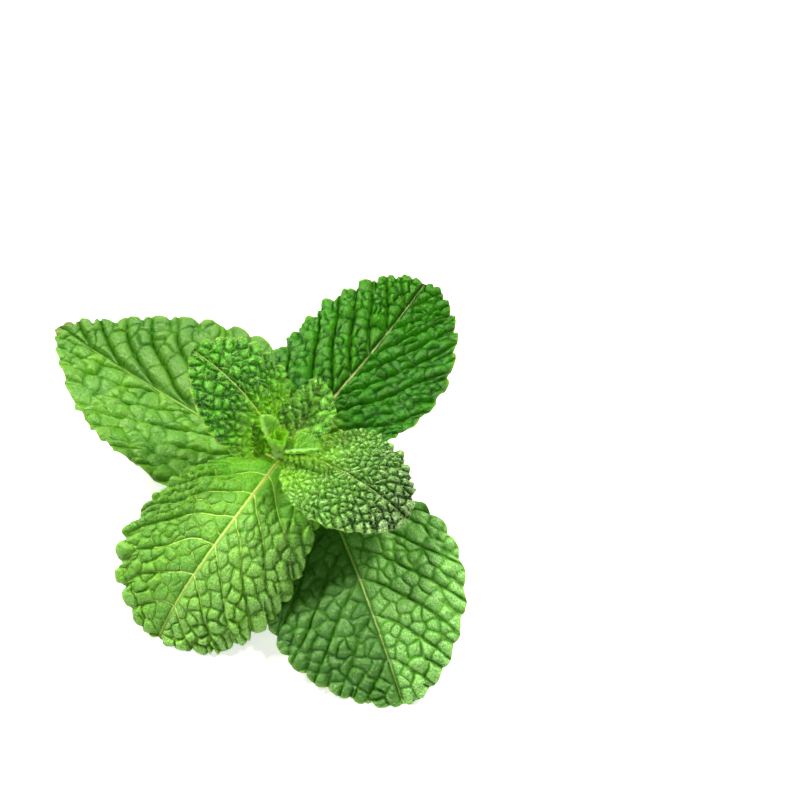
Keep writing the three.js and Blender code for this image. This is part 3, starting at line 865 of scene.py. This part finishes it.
def stem_path(steps):
    """Points and radii along the stem: between two stops a cubic whose slope at each stop is
    half the way from the stop before to the stop after."""
    stops = np.array([at for at, _ in STEM_ROUTE], float)
    radii = np.array([radius for _, radius in STEM_ROUTE])
    padded = np.vstack([2 * stops[0] - stops[1], stops, 2 * stops[-1] - stops[-2]])
    place = np.linspace(0, len(stops) - 1, (len(stops) - 1) * steps + 1)
    span = np.minimum(place.astype(int), len(stops) - 2)
    u = (place - span)[:, None]
    a, b, c, d = padded[span], padded[span + 1], padded[span + 2], padded[span + 3]
    from_slope, to_slope = (c - a) / 2, (d - b) / 2
    points = (b + from_slope * u + (3 * (c - b) - 2 * from_slope - to_slope) * u ** 2
              + (2 * (b - c) + from_slope + to_slope) * u ** 3)
    return points, np.interp(place, np.arange(len(stops)), radii)


def stem_surface(steps=14, around=48):
    """The stem's skin: rings square to the path of radius * (1 - squareness * cos 4a + 0.02
    cos 8a), swollen at the nodes by swelling * exp(-(d / its length)^2), d being the way to the
    nearest node, and at the cut end smaller rings that make a shallow dish."""
    points, radii = stem_path(steps)
    along = np.gradient(points, axis=0)
    along /= np.linalg.norm(along, axis=1, keepdims=True)
    side = np.empty_like(along)
    last = np.array([1.0, 0, 0])
    for i, way in enumerate(along):
        last = last - way * (last @ way)
        last = side[i] = last / np.linalg.norm(last)
    up = np.cross(side, along)
    nodes = np.array(list(NODE.values()))
    nearest = np.linalg.norm(points[:, None] - nodes[None], axis=-1).min(1)
    swollen = radii * (1 + SWELLING * np.exp(-(nearest / SWELLING_LENGTH) ** 2))
    angle = 2 * np.pi * np.arange(around) / around
    section = 1 - STEM_SQUARENESS * np.cos(4 * angle) + 0.02 * np.cos(8 * angle)
    # The cut end: a slightly torn rim, then a shallow dish down to the pith.
    inset = np.array([0.02, 0.35, 0.7, 0.9, 0.97])
    depth = np.array([0.22, 0.2, 0.1, 0.0, 0.02])
    rings = [points[0] + along[0] * d for d in depth] + list(points)
    sizes = list(swollen[0] * inset) + list(swollen)
    way = np.concatenate([[0] * len(inset), np.arange(len(points))])
    centre = np.array(rings)[:, None]
    reach = (np.array(sizes)[:, None] * section)[..., None]
    frame_side, frame_up = side[way.astype(int)][:, None], up[way.astype(int)][:, None]
    skin = (centre + frame_side * reach * np.cos(angle)[:, None]
            + frame_up * reach * np.sin(angle)[:, None])
    skin[..., 2] = np.maximum(skin[..., 2], 0)
    length = np.concatenate([[0] * len(inset), np.cumsum(
        np.concatenate([[0], np.linalg.norm(np.diff(points, axis=0), axis=1)]))])
    red = 0.6 * np.exp(-(nearest / 2.0) ** 2) * smooth(32, 26, points[:, 2])
    red = np.concatenate([[0.1] * len(inset), red])[:, None] * (0.8 + 0.2 * np.cos(4 * angle))
    return skin, length, angle, red


def tube_faces(rings, around):
    """Quads round a tube, and fans that close both ends."""
    ring = np.arange(around)
    after = (ring + 1) % around
    rows = (np.arange(rings - 1) * around)[:, None]
    quads = np.stack([rows + ring, rows + around + ring, rows + around + after, rows + after],
                     -1).reshape(-1, 4)
    k = np.arange(1, around - 1)
    end = (rings - 1) * around
    fans = np.vstack([np.stack([0 * k, k, k + 1], -1), np.stack([0 * k, k + 1, k], -1) + end])
    return quads, fans


# ---- hairs ----


def scatter(surface, count, reach, random):
    """Chance places on a grid of points, as many to each area, and their normals. reach holds
    the least and greatest share of the rows, then of the columns."""
    low_row, high_row, low_column, high_column = reach
    rows, columns = surface.shape[0] - 1, surface.shape[1] - 1
    a, b, d = surface[:-1, :-1], surface[1:, :-1], surface[:-1, 1:]
    normal = np.cross(b - a, d - a)
    area = np.linalg.norm(normal, axis=-1)
    share = np.meshgrid(np.arange(rows) / rows, np.arange(columns) / columns, indexing="ij")
    area = area * ((share[0] >= low_row) & (share[0] <= high_row)
                   & (share[1] >= low_column) & (share[1] <= high_column))
    pick = np.searchsorted(np.cumsum(area.ravel()), random.random(count) * area.sum())
    i, j = np.divmod(np.minimum(pick, rows * columns - 1), columns)
    u, w = random.random((2, count, 1))
    place = (a[i, j] * (1 - u) * (1 - w) + b[i, j] * u * (1 - w) + d[i, j] * (1 - u) * w
             + surface[1:, 1:][i, j] * u * w)
    facing = normal[i, j] / np.maximum(np.linalg.norm(normal[i, j], axis=-1, keepdims=True), 1e-9)
    return place, facing


def hair_mesh(roots, normals, lean, length, radius, random):
    """Closed three-sided spikes, from just under each root. The direction is the normal plus
    lean plus chance, and the length is 0.5 to 1.5 times the given one."""
    count = len(roots)
    way = normals + lean + random.normal(0, 0.25, (count, 3))
    way /= np.linalg.norm(way, axis=1, keepdims=True)
    side = np.cross(way, random.normal(0, 1, (count, 3)))
    side /= np.linalg.norm(side, axis=1, keepdims=True)
    other = np.cross(way, side)
    turn = np.radians([0, 120, 240])[None, :, None]
    size = length * (0.5 + random.random((count, 1, 1)))
    foot = (roots[:, None] - 0.05 * way[:, None]
            + radius * (side[:, None] * np.cos(turn) + other[:, None] * np.sin(turn)))
    tip = roots[:, None] + way[:, None] * size
    points = np.concatenate([foot, tip], 1).reshape(-1, 3)
    start = (4 * np.arange(count))[:, None, None]
    shape = np.array([[0, 1, 3], [1, 2, 3], [2, 0, 3], [0, 2, 1]])
    return points, (start + shape).reshape(-1, 3)


# ---- settings, operators and panel ----


class MintSizes(bpy.types.PropertyGroup):
    """Sizes of the finished sprig, in millimetres unless it says otherwise."""

    thickness: FloatProperty(name="Blade thickness", default=0.42, min=0.1,
                             description="Thickness of a large leaf's blade in millimetres")
    lowered: FloatProperty(name="Blade below solid", default=0.38,
                           description="Depth of the blade under the solid's upper face, in millimetres")
    rib: FloatProperty(name="Vein relief", default=0.34,
                       description="Height of the side veins on the underside in millimetres")
    pucker: FloatProperty(name="Pucker height", default=1.0, subtype="FACTOR",
                          description="Scales the height of the puckers")
    hair: FloatProperty(name="Hair length", default=0.55,
                        description="Length of a hair in millimetres")
    hairs: IntProperty(name="Hairs", default=3000,
                       description="Number of hairs on one of the upper leaves")


class MintColours(bpy.types.PropertyGroup):
    """Colours of what the sprig lies on and is lit by."""

    floor: FloatVectorProperty(name="Floor", subtype="COLOR", size=3, default=(0.7, 0.7, 0.7),
                               description="Colour of the surface under the sprig")
    sky: FloatVectorProperty(name="Surrounding light", subtype="COLOR", size=3,
                             default=(1.0, 1.0, 0.8), description="Colour of the light all round")


class MINT_OT_stem(bpy.types.Operator):
    """Builds the square stem with its cut end"""

    bl_idname = "mint.stem"
    bl_label = "Stem"

    def execute(self, context):
        skin, length, angle, red = stem_surface()
        SURFACES["stem"] = np.concatenate([skin, skin[:, :1]], 1)
        quads, fans = tube_faces(*skin.shape[:2])
        piece = new_piece("stem_skin", skin, quads, fans, stem_material(), "stem", ("stem",))
        store(piece, "skin", length[:, None] + 0 * angle, 0 * length[:, None] + angle, red)
        return {"FINISHED"}


class LeafPair:
    """What the operators for pairs of leaves share."""

    names = ()
    slot_name = ""

    def execute(self, context):
        sizes = context.scene.mint_sizes
        for name in self.names:
            make_leaf(LEAVES[name], name + "_blade", (name,), sizes,
                      leaf_material(name + "_skin", LOOKS[name]), self.slot_name)
        return {"FINISHED"}


class MINT_OT_low_leaves(LeafPair, bpy.types.Operator):
    """Builds the lowest and largest pair of leaves"""

    bl_idname = "mint.low_leaves"
    bl_label = "Low leaves"
    names = ("leaf_low_left", "leaf_low_front")
    slot_name = "leaf_low"


class MINT_OT_middle_leaves(LeafPair, bpy.types.Operator):
    """Builds the second pair of leaves"""

    bl_idname = "mint.middle_leaves"
    bl_label = "Middle leaves"
    names = ("leaf_middle_front", "leaf_middle_back")
    slot_name = "leaf_middle"


class MINT_OT_upper_leaves(LeafPair, bpy.types.Operator):
    """Builds the young pair of leaves under the bud"""

    bl_idname = "mint.upper_leaves"
    bl_label = "Upper leaves"
    names = ("leaf_upper_left", "leaf_upper_right")
    slot_name = "leaf_upper"


class MINT_OT_tip_leaves(LeafPair, bpy.types.Operator):
    """Builds the smallest leaves round the bud"""

    bl_idname = "mint.tip_leaves"
    bl_label = "Tip leaves"
    names = ("leaf_tip_back", "leaf_tip_front", "leaf_crown_right")
    slot_name = "leaf_tip"


class MINT_OT_bud(bpy.types.Operator):
    """Builds the folded leaflets of the bud at the stem's top"""

    bl_idname = "mint.bud"
    bl_label = "Bud"

    def execute(self, context):
        sizes = context.scene.mint_sizes
        material = leaf_material("bud_skin", LOOKS["leaf_tip_front"])
        for number, (azimuth, rise, length) in enumerate(BUD_LEAFLETS):
            leaf = leaf_form("bud_leaflet_%d" % number, "crown", azimuth, rise, 12, 0, 0, 0,
                             length, 0.62 * length, 0.5, 0.5, (0.5, 0.7), 40, 25,
                             0, 1, 5, 0.12, 4, 4, 1.3, 0.6, 0.12,
                             swell=0.06, valley=0.04, crease=0.25, grain=0.08)
            make_leaf(leaf, leaf.name, (), sizes, material, "leaf_tip")
        return {"FINISHED"}


# Where hairs stand: the piece's surface, its slot, a share of the number of hairs, a share of
# their length, and the ranges of rows and columns.
HAIRY = (
    ("leaf_upper_left", "leaf_upper", 0.45, 1.0, (0.1, 1, 0, 1)),
    ("leaf_upper_right", "leaf_upper", 0.65, 0.9, (0.1, 1, 0, 1)),
    ("leaf_tip_back", "leaf_tip", 0.6, 0.9, (0, 1, 0, 1)),
    ("leaf_tip_front", "leaf_tip", 0.35, 0.8, (0, 1, 0, 1)),
    ("leaf_crown_right", "leaf_tip", 0.35, 0.8, (0, 1, 0, 1)),
    ("leaf_middle_front", "leaf_middle", 0.8, 0.8, (0.05, 0.5, 0, 1)),
    ("stem", "stem", 0.8, 1.0, (0.45, 1, 0, 1)),
)


class MINT_OT_hairs(bpy.types.Operator):
    """Sets fine hairs on the young leaves, the leaf bases and the upper stem"""

    bl_idname = "mint.hairs"
    bl_label = "Hairs"

    def execute(self, context):
        sizes = context.scene.mint_sizes
        material = hair_material()
        for number, (name, slot, share, long, reach) in enumerate(HAIRY):
            if name not in SURFACES:
                raise RuntimeError("The hairs need " + name + " first.")
            random = np.random.default_rng(HAIR_SEED + number)
            roots, normals = scatter(SURFACES[name], int(sizes.hairs * share), reach, random)
            points, faces = hair_mesh(roots, normals, np.array(HAIR_LEAN), sizes.hair * long,
                                      sizes.hair * HAIR_THINNESS, random)
            new_piece(name + "_hairs", points, (), faces, material, slot)
        return {"FINISHED"}


class MINT_OT_stage(bpy.types.Operator):
    """Sets the floor, the lights and the camera"""

    bl_idname = "mint.stage"
    bl_label = "Stage"

    def execute(self, context):
        colours = context.scene.mint_colours
        floor = bpy.data.meshes.new("floor")
        corners = ((-1, -1), (1, -1), (1, 1), (-1, 1))
        floor.from_pydata([(x * FLOOR_HALF, y * FLOOR_HALF, 0) for x, y in corners], [],
                          [(0, 1, 2, 3)])
        make = Shader("floor")
        floor.materials.append(make.finish(make.node("ShaderNodeBsdfPrincipled", None, {
            "Base Color": tuple(colours.floor), "Roughness": 0.6, "Specular IOR Level": 0.2,
            "Emission Color": (1.0, 1.0, 1.0), "Emission Strength": 0.65})))
        ground = placed("floor", floor)
        ground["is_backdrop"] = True

        world = bpy.data.worlds.new("studio")
        world.use_nodes = True
        around = world.node_tree.nodes["Background"]
        around.inputs["Color"].default_value = (*colours.sky, 1)
        around.inputs["Strength"].default_value = 0.12
        context.scene.world = world

        middle = MIDDLE_NODE * MM
        for name, place, size, power in LIGHTS:
            light = bpy.data.lights.new(name, "AREA")
            light.shape = "DISK"
            light.size = size
            light.energy = power
            light.color = LIGHT_COLOUR
            lamp = placed(name, light)
            lamp.location = tuple(middle + np.array(place))
            aim = -np.array(place)
            lamp.rotation_euler = (math.atan2(math.hypot(aim[0], aim[1]), -aim[2]), 0,
                                   math.atan2(aim[1], aim[0]) - math.pi / 2)

        lens = bpy.data.cameras.new("camera")
        lens.lens = FOCAL_LENGTH
        lens.sensor_width = 36
        lens.clip_start = 0.01
        camera = placed("camera", lens)
        camera.location = tuple((MIDDLE_NODE + CAMERA_PLACE) * MM)
        camera.rotation_euler = (math.radians(CAMERA_TILT), 0, 0)
        context.scene.camera = camera
        context.scene.view_settings.view_transform = "Standard"
        return {"FINISHED"}


class MINT_PT_panel(bpy.types.Panel):
    """Lists the sprig's sizes, colours and pieces"""

    bl_idname = "MINT_PT_panel"
    bl_label = "Mint Sprig"
    bl_space_type = "VIEW_3D"
    bl_region_type = "UI"
    bl_category = "Mint"

    def draw(self, context):
        layout = self.layout
        for group in (context.scene.mint_sizes, context.scene.mint_colours):
            box = layout.box()
            for key in group.__annotations__:
                box.prop(group, key)
        for operator in OPERATORS:
            layout.operator(operator.bl_idname)


OPERATORS = (MINT_OT_stem, MINT_OT_low_leaves, MINT_OT_middle_leaves, MINT_OT_upper_leaves,
             MINT_OT_tip_leaves, MINT_OT_bud, MINT_OT_hairs, MINT_OT_stage)
CLASSES = (MintSizes, MintColours, *OPERATORS, MINT_PT_panel)


def register():
    for kind in CLASSES:
        bpy.utils.register_class(kind)
    bpy.types.Scene.mint_sizes = PointerProperty(type=MintSizes)
    bpy.types.Scene.mint_colours = PointerProperty(type=MintColours)


def unregister():
    del bpy.types.Scene.mint_colours
    del bpy.types.Scene.mint_sizes
    for kind in reversed(CLASSES):
        bpy.utils.unregister_class(kind)


def main():
    """Builds every piece in order and works out the boxes of the solids and of the pieces."""
    register()
    bpy.ops.mint.stem()
    bpy.ops.mint.low_leaves()
    bpy.ops.mint.middle_leaves()
    bpy.ops.mint.upper_leaves()
    bpy.ops.mint.tip_leaves()
    bpy.ops.mint.bud()
    bpy.ops.mint.hairs()
    bpy.ops.mint.stage()
    boxes = {"cad": CAD_BOX, "pieces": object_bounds()}


if __name__ == "__main__":
    main()
